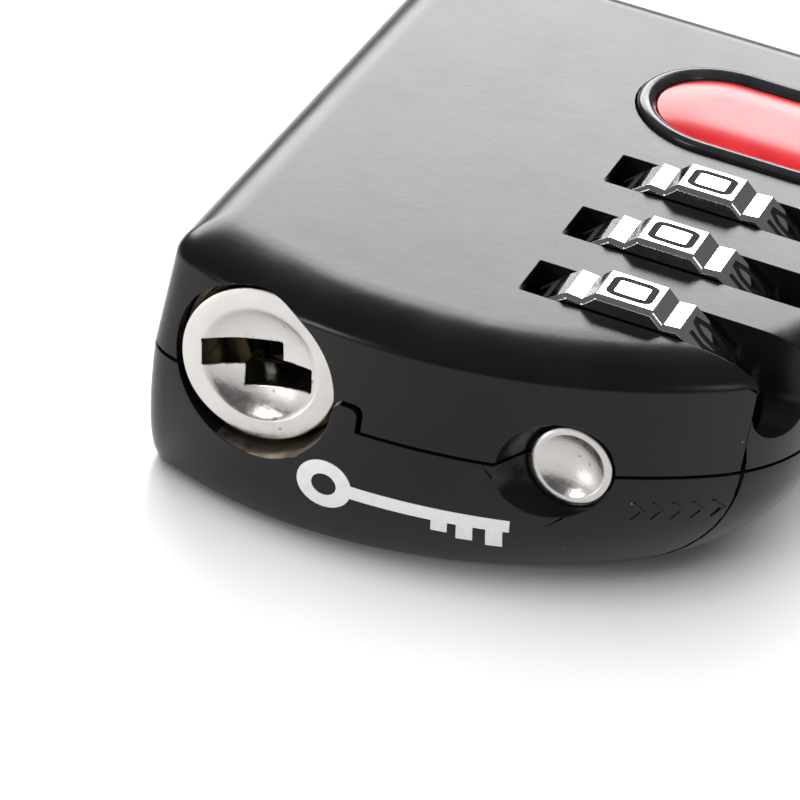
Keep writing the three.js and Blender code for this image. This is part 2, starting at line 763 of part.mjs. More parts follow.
const cylinder = new THREE.Group();
cylinder.position.set(plugX, 0, plugZ);
cylinder.add(meshOf('key_plug', plugSolid(), NICKEL, 0.3, 1));
waferY.forEach((_, i) => cylinder.add(meshOf(`wafer_${i + 1}`, waferSolid(i), BRASS, 0.4, 0.9)));
cylinder.add(meshOf('key_cam', camSolid(), ZINC, 0.5, 0.8));
cylinder.add(meshOf('cam_screw', camScrewSolid(), STEEL, 0.3, 1));
lock.add(cylinder);

lock.add(meshOf('badge_bezel', bezelSolid(), 0x1b1a1c, 0.35, 0.1));
lock.add(meshOf('badge_insert', insertSolid(), 0xa3141b, 0.15, 0.1));

export default lock;
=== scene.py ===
"""Luggage combination padlock: its covers, dials, key plug, button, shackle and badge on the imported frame."""

import math

import bmesh
import bpy
from mathutils import Matrix, Vector


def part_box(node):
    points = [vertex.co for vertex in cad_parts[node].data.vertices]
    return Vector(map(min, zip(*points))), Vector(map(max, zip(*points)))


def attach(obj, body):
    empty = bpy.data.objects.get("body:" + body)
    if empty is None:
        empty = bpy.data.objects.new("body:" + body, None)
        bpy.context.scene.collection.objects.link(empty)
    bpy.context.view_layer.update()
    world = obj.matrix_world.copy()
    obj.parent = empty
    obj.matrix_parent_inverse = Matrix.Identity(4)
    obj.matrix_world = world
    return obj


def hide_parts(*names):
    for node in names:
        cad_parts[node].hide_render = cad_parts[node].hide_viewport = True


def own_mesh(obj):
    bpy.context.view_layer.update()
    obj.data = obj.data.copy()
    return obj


bl_info = {
    "name": "Luggage combination padlock",
    "version": (1, 0, 0),
    "blender": (4, 5, 0),
    "location": "View3D > Sidebar > Padlock",
    "description": "Builds the padlock's pieces and finishes on its packed frame",
    "category": "Object",
}

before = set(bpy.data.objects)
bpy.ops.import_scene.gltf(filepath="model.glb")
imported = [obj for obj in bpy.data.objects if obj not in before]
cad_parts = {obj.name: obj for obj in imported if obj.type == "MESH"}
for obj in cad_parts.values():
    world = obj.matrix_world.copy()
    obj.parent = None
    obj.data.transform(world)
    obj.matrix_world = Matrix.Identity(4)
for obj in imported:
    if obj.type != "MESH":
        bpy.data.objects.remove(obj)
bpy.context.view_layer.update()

MM = 0.001
SHIFT_Y = -32.75  # millimetres from the lock's own zero, at its key end, to the frame's


def box_mm(node):
    """Lowest and highest corner of a frame node, in millimetres from the key end."""
    lo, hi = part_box(node)
    shift = Vector((0, SHIFT_Y, 0))
    return Vector(lo) / MM - shift, Vector(hi) / MM - shift


def centre_mm(node):
    lo, hi = box_mm(node)
    return (lo + hi) / 2


DIALS = [centre_mm(f"dial_{i + 1}") for i in range(3)]
DIAL_LO, DIAL_HI = box_mm("dial_1")
BUTTON_LO = box_mm("release_button")[0]
PLUG_LO, PLUG_HI = box_mm("key_plug")
SLEEVE_HI = box_mm("cylinder_sleeve")[1]
BEZEL_LO, BEZEL_HI = box_mm("badge_bezel")
CAM_LO, CAM_HI = box_mm("key_cam")
FRONT_HI = box_mm("front_cover")[1]
SHACKLE_LO, SHACKLE_HI = box_mm("shackle")

AXIS_X = DIALS[0].x
AXIS_Z = DIALS[0].z
FACE_Z = FRONT_HI.z
HALF_WIDTH = 15.6
BODY_LENGTH = 40.0
PLUG_X = (PLUG_LO.x + PLUG_HI.x) / 2
PLUG_Z = (PLUG_LO.z + PLUG_HI.z) / 2
PLUG_FACE = PLUG_LO.y
PLUG_R = (PLUG_HI.x - PLUG_LO.x) / 2
BUTTON_FACE = BUTTON_LO.y
BUTTON_R = 2.03
HALF_PAD = math.radians(11.75)
DIAL_R = (DIAL_HI.z - AXIS_Z) / math.cos(HALF_PAD)
DIAL_WIDTH = DIAL_HI.y - DIAL_LO.y
WIRE_R = (SHACKLE_HI.z - SHACKLE_LO.z) / 2
SPAN = 10.9
CROWN_Y = SHACKLE_HI.y - SPAN - WIRE_R
END_ARC = 26.0
END_ARC_X = -4.4


def arc_y(x):
    """How far the key end's curved wall stands in at x."""
    return END_ARC - math.sqrt(END_ARC ** 2 - (x - END_ARC_X) ** 2)


# ---- sizes and colours a user may change ---------------------------------------------------------
class PadlockSizes(bpy.types.PropertyGroup):
    edge_round: bpy.props.FloatProperty(
        name="Edge round", description="Radius worn onto the covers' sharp edges",
        default=0.055 * MM, min=0.02 * MM, max=0.2 * MM, subtype="DISTANCE", unit="LENGTH", precision=5)
    digit_depth: bpy.props.FloatProperty(
        name="Digit depth", description="How deep the dials' digits are cut",
        default=0.15 * MM, min=0.04 * MM, max=0.2 * MM, subtype="DISTANCE", unit="LENGTH", precision=5)
    digit_line: bpy.props.FloatProperty(
        name="Digit line", description="Width of the cut line of a digit",
        default=0.38 * MM, min=0.1 * MM, max=0.42 * MM, subtype="DISTANCE", unit="LENGTH", precision=5)
    mark_height: bpy.props.FloatProperty(
        name="Key mark height", description="Height of the white key mark on the end wall",
        default=2.6 * MM, min=1.0 * MM, max=3.2 * MM, subtype="DISTANCE", unit="LENGTH", precision=5)
    wire_sides: bpy.props.IntProperty(
        name="Wire sides", description="Sides round the shackle's wire", default=48, min=16, max=96)


class PadlockColours(bpy.types.PropertyGroup):
    paint: bpy.props.FloatVectorProperty(
        name="Cover paint", description="Satin black paint on the covers",
        default=(0.0056, 0.0050, 0.0052), size=3, subtype="COLOR", min=0, max=1)
    chrome: bpy.props.FloatVectorProperty(
        name="Chrome", description="Bright plating on the dials and shackle",
        default=(0.80, 0.785, 0.765), size=3, subtype="COLOR", min=0, max=1)
    nickel: bpy.props.FloatVectorProperty(
        name="Nickel", description="Satin plating on the plug and button",
        default=(0.58, 0.56, 0.53), size=3, subtype="COLOR", min=0, max=1)
    digit_fill: bpy.props.FloatVectorProperty(
        name="Digit fill", description="Paint in the dials' digits",
        default=(0.006, 0.006, 0.007), size=3, subtype="COLOR", min=0, max=1)
    badge: bpy.props.FloatVectorProperty(
        name="Badge", description="Domed resin of the badge's insert",
        default=(0.52, 0.012, 0.018), size=3, subtype="COLOR", min=0, max=1)
    mark: bpy.props.FloatVectorProperty(
        name="Mark fill", description="White paint in the key mark",
        default=(0.80, 0.80, 0.81), size=3, subtype="COLOR", min=0, max=1)
    floor: bpy.props.FloatVectorProperty(
        name="Floor", description="Seamless table top",
        default=(0.86, 0.86, 0.865), size=3, subtype="COLOR", min=0, max=1)


def sizes():
    return bpy.context.scene.padlock_sizes


def colours():
    return bpy.context.scene.padlock_colours


# ---- materials -------------------------------------------------------------------------------------
def new_material(name):
    m = bpy.data.materials.new(name)
    m.use_nodes = True
    tree = m.node_tree
    shader = tree.nodes["Principled BSDF"]
    return m, tree, shader


def noise(tree, scale, detail=4.0, roughness=0.55, stretch=(1, 1, 1)):
    coord = tree.nodes.new("ShaderNodeTexCoord")
    mapping = tree.nodes.new("ShaderNodeMapping")
    mapping.inputs["Scale"].default_value = stretch
    tex = tree.nodes.new("ShaderNodeTexNoise")
    tex.inputs["Scale"].default_value = scale
    tex.inputs["Detail"].default_value = detail
    tex.inputs["Roughness"].default_value = roughness
    tree.links.new(coord.outputs["Object"], mapping.inputs["Vector"])
    tree.links.new(mapping.outputs["Vector"], tex.inputs["Vector"])
    return tex


def ramp(tree, source, low, high, start=0.3, end=0.7):
    node = tree.nodes.new("ShaderNodeValToRGB")
    node.color_ramp.elements[0].position = start
    node.color_ramp.elements[1].position = end
    node.color_ramp.elements[0].color = (*low, 1) if len(low) == 3 else low
    node.color_ramp.elements[1].color = (*high, 1) if len(high) == 3 else high
    tree.links.new(source, node.inputs["Fac"])
    return node.outputs["Color"]


def ranged(tree, source, low, high, start=0.3, end=0.7):
    node = tree.nodes.new("ShaderNodeMapRange")
    node.inputs["From Min"].default_value = start
    node.inputs["From Max"].default_value = end
    node.inputs["To Min"].default_value = low
    node.inputs["To Max"].default_value = high
    tree.links.new(source, node.inputs["Value"])
    return node.outputs["Result"]


def bumps(tree, shader, *layers):
    """Chains bump nodes, each (height socket, strength, distance in millimetres)."""
    last = None
    for height, strength, distance in layers:
        node = tree.nodes.new("ShaderNodeBump")
        node.inputs["Strength"].default_value = strength
        node.inputs["Distance"].default_value = distance * MM
        tree.links.new(height, node.inputs["Height"])
        if last is not None:
            tree.links.new(last, node.inputs["Normal"])
        last = node.outputs["Normal"]
    tree.links.new(last, shader.inputs["Normal"])


def satin_paint():
    m, tree, shader = new_material("satin black paint")
    base = Vector(colours().paint)
    cloud = noise(tree, 260, 3)
    grain = noise(tree, 5200, 2)
    fleck = noise(tree, 2300, 1, 0.3)
    tone = ramp(tree, cloud.outputs["Fac"], tuple(base * 0.82), tuple(base * 1.25))
    speck = ramp(tree, fleck.outputs["Fac"], (0, 0, 0), (1, 1, 1), 0.825, 0.85)
    mix = tree.nodes.new("ShaderNodeMix")
    mix.data_type = "RGBA"
    mix.inputs["B"].default_value = (0.20, 0.19, 0.185, 1)
    tree.links.new(speck, mix.inputs["Factor"])
    tree.links.new(tone, mix.inputs["A"])
    tree.links.new(mix.outputs["Result"], shader.inputs["Base Color"])
    tree.links.new(ranged(tree, cloud.outputs["Fac"], 0.22, 0.26), shader.inputs["Roughness"])
    shader.inputs["Specular IOR Level"].default_value = 0.24
    peel = noise(tree, 900, 2)
    bumps(tree, shader, (peel.outputs["Fac"], 0.10, 0.05), (grain.outputs["Fac"], 0.12, 0.02),
          (speck, 0.25, 0.02))
    return m


def bare_zinc():
    m, tree, shader = new_material("bare zinc in the bore")
    grime = noise(tree, 900, 4)
    tone = ramp(tree, grime.outputs["Fac"], (0.09, 0.072, 0.058), (0.30, 0.255, 0.215))
    tree.links.new(tone, shader.inputs["Base Color"])
    shader.inputs["Metallic"].default_value = 0.85
    rings = noise(tree, 1400, 2, 0.5, (1, 6, 1))
    tree.links.new(ranged(tree, rings.outputs["Fac"], 0.28, 0.46), shader.inputs["Roughness"])
    bumps(tree, shader, (rings.outputs["Fac"], 0.2, 0.02))
    return m


def bright_chrome(name="bright chrome", rough=(0.045, 0.11)):
    m, tree, shader = new_material(name)
    base = Vector(colours().chrome)
    haze = noise(tree, 700, 4)
    pits = noise(tree, 6500, 2)
    tone = ramp(tree, haze.outputs["Fac"], tuple(base * 0.93), tuple(base))
    tree.links.new(tone, shader.inputs["Base Color"])
    shader.inputs["Metallic"].default_value = 1.0
    tree.links.new(ranged(tree, haze.outputs["Fac"], *rough), shader.inputs["Roughness"])
    wave = noise(tree, 420, 1)
    bumps(tree, shader, (wave.outputs["Fac"], 0.12, 0.05), (pits.outputs["Fac"], 0.04, 0.01))
    return m


def satin_nickel(name="satin nickel", grain_strength=0.22, grain_scale=5200.0, rough=(0.17, 0.27)):
    m, tree, shader = new_material(name)
    base = Vector(colours().nickel)
    haze = noise(tree, 600, 4)
    grain = noise(tree, grain_scale, 3)
    pits = noise(tree, 2600, 1, 0.3)
    pit = ramp(tree, pits.outputs["Fac"], (0, 0, 0), (1, 1, 1), 0.76, 0.80)
    mix = tree.nodes.new("ShaderNodeMix")
    mix.data_type = "RGBA"
    mix.inputs["B"].default_value = (0.30, 0.27, 0.24, 1)
    tone = ramp(tree, haze.outputs["Fac"], tuple(base * 0.92), tuple(base))
    tree.links.new(pit, mix.inputs["Factor"])
    tree.links.new(tone, mix.inputs["A"])
    tree.links.new(mix.outputs["Result"], shader.inputs["Base Color"])
    shader.inputs["Metallic"].default_value = 1.0
    tree.links.new(ranged(tree, grain.outputs["Fac"], *rough), shader.inputs["Roughness"])
    bumps(tree, shader, (grain.outputs["Fac"], grain_strength, 0.012), (pit, -0.3, 0.02))
    return m


def digit_paint():
    m, tree, shader = new_material("digit paint")
    base = Vector(colours().digit_fill)
    grain = noise(tree, 4000, 3)
    tone = ramp(tree, grain.outputs["Fac"], tuple(base), tuple(base * 2.2))
    tree.links.new(tone, shader.inputs["Base Color"])
    tree.links.new(ranged(tree, grain.outputs["Fac"], 0.5, 0.7), shader.inputs["Roughness"])
    shader.inputs["Specular IOR Level"].default_value = 0.06
    bumps(tree, shader, (grain.outputs["Fac"], 0.2, 0.01))
    return m


def mark_paint():
    m, tree, shader = new_material("white fill paint")
    base = Vector(colours().mark)
    grain = noise(tree, 1800, 4)
    tone = ramp(tree, grain.outputs["Fac"], tuple(base * 0.9), tuple(base))
    tree.links.new(tone, shader.inputs["Base Color"])
    tree.links.new(ranged(tree, grain.outputs["Fac"], 0.38, 0.5), shader.inputs["Roughness"])
    bumps(tree, shader, (grain.outputs["Fac"], 0.25, 0.03))
    return m


def gloss_black():
    m, tree, shader = new_material("gloss black bezel")
    haze = noise(tree, 900, 3)
    tree.links.new(ramp(tree, haze.outputs["Fac"], (0.012, 0.012, 0.013), (0.022, 0.022, 0.024)),
                   shader.inputs["Base Color"])
    tree.links.new(ranged(tree, haze.outputs["Fac"], 0.14, 0.24), shader.inputs["Roughness"])
    shader.inputs["Specular IOR Level"].default_value = 0.35
    bumps(tree, shader, (haze.outputs["Fac"], 0.06, 0.03))
    return m


def badge_resin():
    m, tree, shader = new_material("red badge resin")
    base = Vector(colours().badge)
    swirl = noise(tree, 380, 3)
    tone = ramp(tree, swirl.outputs["Fac"], tuple(base * 0.8), tuple(base * 1.1))
    tree.links.new(tone, shader.inputs["Base Color"])
    tree.links.new(ranged(tree, swirl.outputs["Fac"], 0.16, 0.24), shader.inputs["Roughness"])
    shader.inputs["Specular IOR Level"].default_value = 0.16
    shader.inputs["Coat Weight"].default_value = 0.1
    shader.inputs["Coat Roughness"].default_value = 0.05
    bumps(tree, shader, (swirl.outputs["Fac"], 0.05, 0.05))
    return m


def turned_metal(name, low, high, rough, stretch=(1, 1, 1), scale=2400.0, metallic=1.0):
    """Plain metals of the inner pieces and rivets, with machining or handling marks."""
    m, tree, shader = new_material(name)
    marks = noise(tree, scale, 3, 0.55, stretch)
    grime = noise(tree, 500, 4)
    tree.links.new(ramp(tree, grime.outputs["Fac"], low, high), shader.inputs["Base Color"])
    shader.inputs["Metallic"].default_value = metallic
    tree.links.new(ranged(tree, marks.outputs["Fac"], *rough), shader.inputs["Roughness"])
    bumps(tree, shader, (marks.outputs["Fac"], 0.15, 0.012))
    return m


def material(name, maker, *args, **kw):
    found = bpy.data.materials.get(name)
    return found or maker(*args, **kw)


# ---- modelling helpers, all in millimetres until a piece is finished ------------------------------
def deselect():
    if bpy.context.object and bpy.context.object.mode != "OBJECT":
        bpy.ops.object.mode_set(mode="OBJECT")
    bpy.ops.object.select_all(action="DESELECT")


def pick(o):
    deselect()
    o.select_set(True)
    bpy.context.view_layer.objects.active = o
    return o


def loft(rings, name="blank"):
    """A closed skin drawn up through rings of points, from a filled circle extruded ring by ring."""
    deselect()
    bpy.ops.mesh.primitive_circle_add(vertices=len(rings[0]), fill_type="NGON")
    o = bpy.context.object
    o.name = name
    bpy.ops.object.mode_set(mode="EDIT")
    bm = bmesh.from_edit_mesh(o.data)
    order = bm.verts.layers.int.new("order")
    bm.verts.ensure_lookup_table()
    for i, v in enumerate(bm.verts):
        v[order] = i
        v.co = rings[0][i]
    bmesh.update_edit_mesh(o.data)
    for ring in rings[1:]:
        bpy.ops.mesh.extrude_region_move()
        bm = bmesh.from_edit_mesh(o.data)
        order = bm.verts.layers.int["order"]
        for v in bm.verts:
            if v.select:
                v.co = ring[v[order]]
        bmesh.update_edit_mesh(o.data)
    bpy.ops.mesh.select_all(action="SELECT")
    bpy.ops.mesh.normals_make_consistent(inside=False)
    bpy.ops.object.mode_set(mode="OBJECT")
    return o


def prism(points, low, high, axis="Z"):
    """A straight piece of that section, drawn in x and y for axis Z or in x and z for axis Y."""
    if axis == "Z":
        return loft([[Vector((x, y, h)) for x, y in points] for h in (low, high)])
    if axis == "Y":
        return loft([[Vector((x, h, z)) for x, z in points] for h in (low, high)])
    return loft([[Vector((h, y, z)) for y, z in points] for h in (low, high)])


def turned(profile, x, z, segments=64):
    """A piece turned about an axis along Y from (radius, y) pairs."""
    rings = []
    for r, y in profile:
        rings.append([Vector((x + r * math.cos(2 * math.pi * i / segments), y,
                              z + r * math.sin(2 * math.pi * i / segments))) for i in range(segments)])
    return loft(rings)


def turned_z(profile, x, y, segments=48):
    rings = []
    for r, z in profile:
        rings.append([Vector((x + r * math.cos(2 * math.pi * i / segments),
                              y + r * math.sin(2 * math.pi * i / segments), z)) for i in range(segments)])
    return loft(rings)


def rod(radius, y0, y1, x, z, segments=64, radius_end=None):
    return turned([(radius, y0), (radius if radius_end is None else radius_end, y1)], x, z, segments)


def block(x0, x1, y0, y1, z0, z1):
    deselect()
    bpy.ops.mesh.primitive_cube_add(size=1, location=((x0 + x1) / 2, (y0 + y1) / 2, (z0 + z1) / 2),
                                    scale=(x1 - x0, y1 - y0, z1 - z0))
    o = bpy.context.object
    bpy.ops.object.transform_apply(location=True, rotation=True, scale=True)
    return o


def combine(o, other, operation="DIFFERENCE", self_cut=False):
    """Cuts, joins or intersects with another closed skin, which is used up."""
    pick(o)
    m = o.modifiers.new("shape", "BOOLEAN")
    m.operation = operation
    m.solver = "EXACT"
    m.use_self = self_cut
    m.object = other
    bpy.ops.object.modifier_apply(modifier=m.name)
    bpy.data.objects.remove(other, do_unlink=True)
    if not o.data.polygons:
        raise RuntimeError(f"nothing is left of {o.name} after a cut")
    return o


def soften(o, width, segments=2, angle=32.0, clamp=False):
    """Rounds the edges that stand sharper than an angle."""
    pick(o)
    m = o.modifiers.new("round", "BEVEL")
    m.width = width
    m.segments = segments
    m.limit_method = "ANGLE"
    m.angle_limit = math.radians(angle)
    m.use_clamp_overlap = clamp
    m.miter_outer = "MITER_ARC"
    bpy.ops.object.modifier_apply(modifier=m.name)
    return o


def tidy(o, distance=0.015):
    pick(o)
    bpy.ops.object.mode_set(mode="EDIT")
    bpy.ops.mesh.select_all(action="SELECT")
    bpy.ops.mesh.remove_doubles(threshold=distance)
    bpy.ops.mesh.dissolve_limited(angle_limit=math.radians(0.4))
    bpy.ops.object.mode_set(mode="OBJECT")
    return o


def smooth(o, angle=35.0, weighted=True):
    pick(o)
    bpy.ops.object.shade_smooth_by_angle(angle=math.radians(angle))
    if weighted:
        m = o.modifiers.new("normals", "WEIGHTED_NORMAL")
        m.keep_sharp = True
        bpy.ops.object.modifier_apply(modifier=m.name)
    return o


def finish_piece(o, name, body, finish, nodes=()):
    """Scales a piece to metres in the frame, names it, and hands it to its body."""
    pick(o)
    o.location = (0, SHIFT_Y * MM, 0)
    o.scale = (MM, MM, MM)
    bpy.ops.object.transform_apply(location=True, rotation=True, scale=True)
    o.name = name
    o.data.name = name
    if finish is not None:
        o.data.materials.clear()
        o.data.materials.append(finish)
    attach(o, body)
    if nodes:
        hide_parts(*nodes)
    deselect()
    return o


# ---- covers --------------------------------------------------------------------------------------------
BACK_INSETS = (0.4, 9.0, 2.9, 5.0)
BACK_EDGE = 7.2
FACE_INSET = 2.2
FACE_NEAR_INSET = 3.4
FACE_EDGE = 1.3
LEFT_DRAFT = 0.5
FLARE = 0.3
FAR_DIP = 0.6
SLOT_HALF = 1.55
SLOT_LEFT_X = 0.9
SLOT_TIP_DROP = 1.6
DIAL_CLEARANCE = 0.35
PLUG_BORE = PLUG_R + 0.36
COUNTERSINK_R = 3.7
FLANGE_POCKET_R = 2.9
HEEL_DEPTH = 13.8
TOE_DEPTH = 6.0
RIVET_SEAT = (1.55, 0.75)  # radius and depth


def quadratic(a, b, c, steps):
    out = []
    for i in range(1, steps + 1):
        t = i / steps
        out.append(tuple((1 - t) ** 2 * p + 2 * (1 - t) * t * q + t * t * r for p, q, r in zip(a, b, c)))
    return out


def straight(a, b, steps):
    return [tuple(p + (q - p) * i / steps for p, q in zip(a, b)) for i in range(1, steps + 1)]


def body_outline():
    left = -HALF_WIDTH + 1.3
    right = HALF_WIDTH - 3.8
    slope = lambda x: (x - END_ARC_X) / math.sqrt(END_ARC ** 2 - (x - END_ARC_X) ** 2)
    left_corner = arc_y(left) + slope(left) * (-HALF_WIDTH - left)
    right_corner = arc_y(right) + slope(right) * (HALF_WIDTH - right)
    far = 4.0
    start = (-HALF_WIDTH, left_corner + 1.2)
    points = [start]
    points += quadratic(start, (-HALF_WIDTH, left_corner), (left, arc_y(left)), 8)
    points += [(x, arc_y(x)) for x in (left + (right - left) * i / 44 for i in range(1, 45))]
    points += quadratic(points[-1], (HALF_WIDTH, right_corner), (HALF_WIDTH, right_corner + 4.7), 14)
    points += straight(points[-1], (HALF_WIDTH, BODY_LENGTH - far), 6)
    points += quadratic(points[-1], (HALF_WIDTH, BODY_LENGTH), (HALF_WIDTH - far, BODY_LENGTH), 10)
    points += straight(points[-1], (-HALF_WIDTH + far, BODY_LENGTH), 24)
    points += quadratic(points[-1], (-HALF_WIDTH, BODY_LENGTH), (-HALF_WIDTH, BODY_LENGTH - far), 10)
    points += straight(points[-1], start, 8)[:-1]
    return points


def body_levels():
    levels = []
    for i in range(13):
        angle = math.pi / 2 * i / 12
        share = 1 - math.sin(angle)
        levels.append((BACK_EDGE * (1 - math.cos(angle)), [inset * share for inset in BACK_INSETS]))
    for i in range(11):
        angle = math.pi / 2 * i / 10
        inset = FACE_INSET * (1 - math.cos(angle))
        near = FACE_NEAR_INSET * (1 - math.cos(angle))
        levels.append((FACE_Z - FACE_EDGE * (1 - math.sin(angle)), [inset + LEFT_DRAFT, inset, near, inset]))
    return levels


def body_blank():
    outline = body_outline()
    width = 2 * HALF_WIDTH
    dip_half = HALF_WIDTH - 4
    rings = []
    for z, (left, right, near, far) in body_levels():
        ring = []
        for px, py in outline:
            flare = 1 - (FLARE / HALF_WIDTH) * (1 - py / BODY_LENGTH)
            x = -HALF_WIDTH + left + (px * flare + HALF_WIDTH) / width * (width - left - right)
            y = near + py / BODY_LENGTH * (BODY_LENGTH - near - far)
            if abs(x) < dip_half:
                y = min(y, BODY_LENGTH - FAR_DIP * (1 + math.cos(math.pi * x / dip_half)) / 2)
            ring.append(Vector((x, y, z)))
        rings.append(ring)
    return loft(rings)


def tab_section(grow):
    x0 = PLUG_X + PLUG_BORE - 0.4
    x1 = PLUG_X + 5.6 + grow
    top = PLUG_Z + 0.3 + grow
    mid = (x1 + PLUG_X + PLUG_BORE) / 2
    return [(x0, AXIS_Z - 1), (x1, AXIS_Z - 1), (x1, top - 0.4), (x1 - 0.12, top - 0.12), (x1 - 0.4, top),
            (mid - 0.3, top), (x0, top - 0.6)]


def parting_section(shift, far):
    left = AXIS_Z - 0.5 + shift
    right = AXIS_Z + 0.02 + shift
    return [(-30, far), (-30, left), (-HALF_WIDTH + 1.5, left), (PLUG_X + 5, right), (30, right), (30, far)]


def slot_cutters():
    out = []
    for c in DIALS:
        y0, y1 = c.y - SLOT_HALF, c.y + SLOT_HALF
        mouth = AXIS_Z + SLOT_TIP_DROP + SLOT_HALF
        out.append(rod(DIAL_R + DIAL_CLEARANCE, y0, y1, AXIS_X, AXIS_Z, 72))
        out.append(block(SLOT_LEFT_X, HALF_WIDTH + 2, y0, y1, mouth, FACE_Z + 2))
        ring = [(c.y + SLOT_HALF * math.cos(a), mouth + SLOT_HALF * math.sin(a))
                for a in (2 * math.pi * i / 32 for i in range(32))]
        out.append(prism(ring, AXIS_X + 2, HALF_WIDTH + 2, "X"))
    return out


def cover_cutters():
    wall = arc_y(AXIS_X)
    out = slot_cutters()
    out.append(rod(BUTTON_R + 0.08, wall - 3, BUTTON_FACE + 2.0, AXIS_X, AXIS_Z, 48))
    out.append(rod(COUNTERSINK_R, wall - 2.4, BUTTON_FACE + 0.2, AXIS_X, AXIS_Z, 56, BUTTON_R + 0.1))
    out.append(rod(FLANGE_POCKET_R, BUTTON_FACE + 1.5, BUTTON_FACE + 3.8, AXIS_X, AXIS_Z, 32))
    out.append(rod(PLUG_BORE, -6, SLEEVE_HI.y + 2, PLUG_X, PLUG_Z, 72))
    reach = max(PLUG_X - CAM_LO.x, CAM_HI.x - PLUG_X, PLUG_Z - CAM_LO.z, CAM_HI.z - PLUG_Z)
    out.append(rod(reach + 0.25, SLEEVE_HI.y + 1, CAM_HI.y + 0.3, PLUG_X, PLUG_Z, 40))
    for x, low in ((-SPAN, BODY_LENGTH - TOE_DEPTH - 0.3), (SPAN, BODY_LENGTH - HEEL_DEPTH - 0.3)):
        out.append(rod(WIRE_R + 0.1, low, BODY_LENGTH + 3, x, AXIS_Z, 40))
    half = (BEZEL_HI.x - BEZEL_LO.x) / 2 + 0.1
    radius = (BEZEL_HI.y - BEZEL_LO.y) / 2 + 0.1
    mid = (BEZEL_LO + BEZEL_HI) / 2
    out.append(prism(capsule_points(half, radius, mid.x, mid.y), FACE_Z - 0.8, FACE_Z + 3))
    return out


def capsule_points(half, radius, x, y, steps=20):
    run = half - radius
    right = [(x + run + radius * math.cos(a), y + radius * math.sin(a))
             for a in (-math.pi / 2 + math.pi * i / steps for i in range(steps + 1))]
    left = [(x - run + radius * math.cos(a), y + radius * math.sin(a))
            for a in (math.pi / 2 + math.pi * i / steps for i in range(steps + 1))]
    return right + left


def bore_faces(o, finish):
    """Gives the bare wall of the plug's bore its own finish."""
    o.data.materials.append(finish)
    index = len(o.data.materials) - 1
    radius = PLUG_BORE * MM
    for p in o.data.polygons:
        away = Vector((p.center.x - PLUG_X * MM, 0, p.center.z - PLUG_Z * MM))
        low = away.z < -0.5 * radius and away.x > -0.3 * radius
        if low and abs(away.length - radius) < 0.03 * MM and abs(p.normal.y) < 0.3 and p.normal.dot(away) < 0:
            p.material_index = index


class PADLOCK_OT_covers(bpy.types.Operator):
    """Shape the front and rear covers and divide them at the parting line"""
    bl_idname = "padlock.covers"
    bl_label = "Covers"

    def execute(self, context):
        width = sizes().edge_round / MM
        blank = body_blank()
        front = blank.copy()
        front.data = blank.data.copy()
        context.collection.objects.link(front)
        combine(front, prism(parting_section(0.075, 30), -20, 90, "Y"), "INTERSECT")
        combine(front, prism(tab_section(0.26), -3, DIALS[0].y - 5.75, "Y"))
        region = prism(parting_section(-0.075, -30), -20, 90, "Y")
        combine(region, prism(tab_section(0.0), -3, DIALS[0].y - 6, "Y"), "UNION")
        rear = combine(blank, region, "INTERSECT")
        for cover in (front, rear):
            for cutter in cover_cutters():
                combine(cover, cutter)
        for x, y in RIVETS:
            combine(rear, turned_z([(RIVET_SEAT[0], -1), (RIVET_SEAT[0], RIVET_SEAT[1])], x, y, 32))
        paint = material("satin black paint", satin_paint)
        zinc = material("bare zinc in the bore", bare_zinc)
        for cover, name in ((front, "cover_front"), (rear, "cover_rear")):
            tidy(cover)
            soften(cover, width)
            smooth(cover, 40)
            node = "front_cover" if cover is front else "rear_cover"
            finish_piece(cover, name, "body", paint, (node,))
            bore_faces(cover, zinc)
        return {"FINISHED"}


RIVETS = [tuple(centre_mm(f"cover_rivet_{i + 1}"))[:2] for i in range(4)]


class PADLOCK_OT_rivets(bpy.types.Operator):
    """Peen the four rivet heads on the back"""
    bl_idname = "padlock.rivets"
    bl_label = "Rivets"

    def execute(self, context):
        metal = material("peened rivet", turned_metal, "peened rivet", (0.30, 0.30, 0.31), (0.48, 0.48, 0.49),
                         (0.35, 0.55))
        for i, (x, y) in enumerate(RIVETS):
            head = turned_z([(0.35, 0.16), (0.9, 0.1), (1.25, 0.14), (1.42, 0.3), (1.45, 0.5), (1.4, 0.65),
                             (0.8, 0.66), (0.8, 11.6)], x, y, 40)
            smooth(soften(head, 0.05, 2, 50), 40)
            finish_piece(head, f"rivet_{i + 1}", "body", metal, (f"cover_rivet_{i + 1}",))
        return {"FINISHED"}


# ---- dials ------------------------------------------------------------------------------------------------
# Centre lines of the digits on a pad, across the pad (u) and round the dial (v), in half widths of a digit.
def rounded_ring(w, h, r, steps=5):
    points = []
    corners = ((w - r, h - r, 0), (-w + r, h - r, 90), (-w + r, -h + r, 180), (w - r, -h + r, 270))
    for cx, cy, start in corners:
        for i in range(steps + 1):
            a = math.radians(start + 90 * i / steps)
            points.append((cx + r * math.cos(a), cy + r * math.sin(a)))
    return points + points[:1]


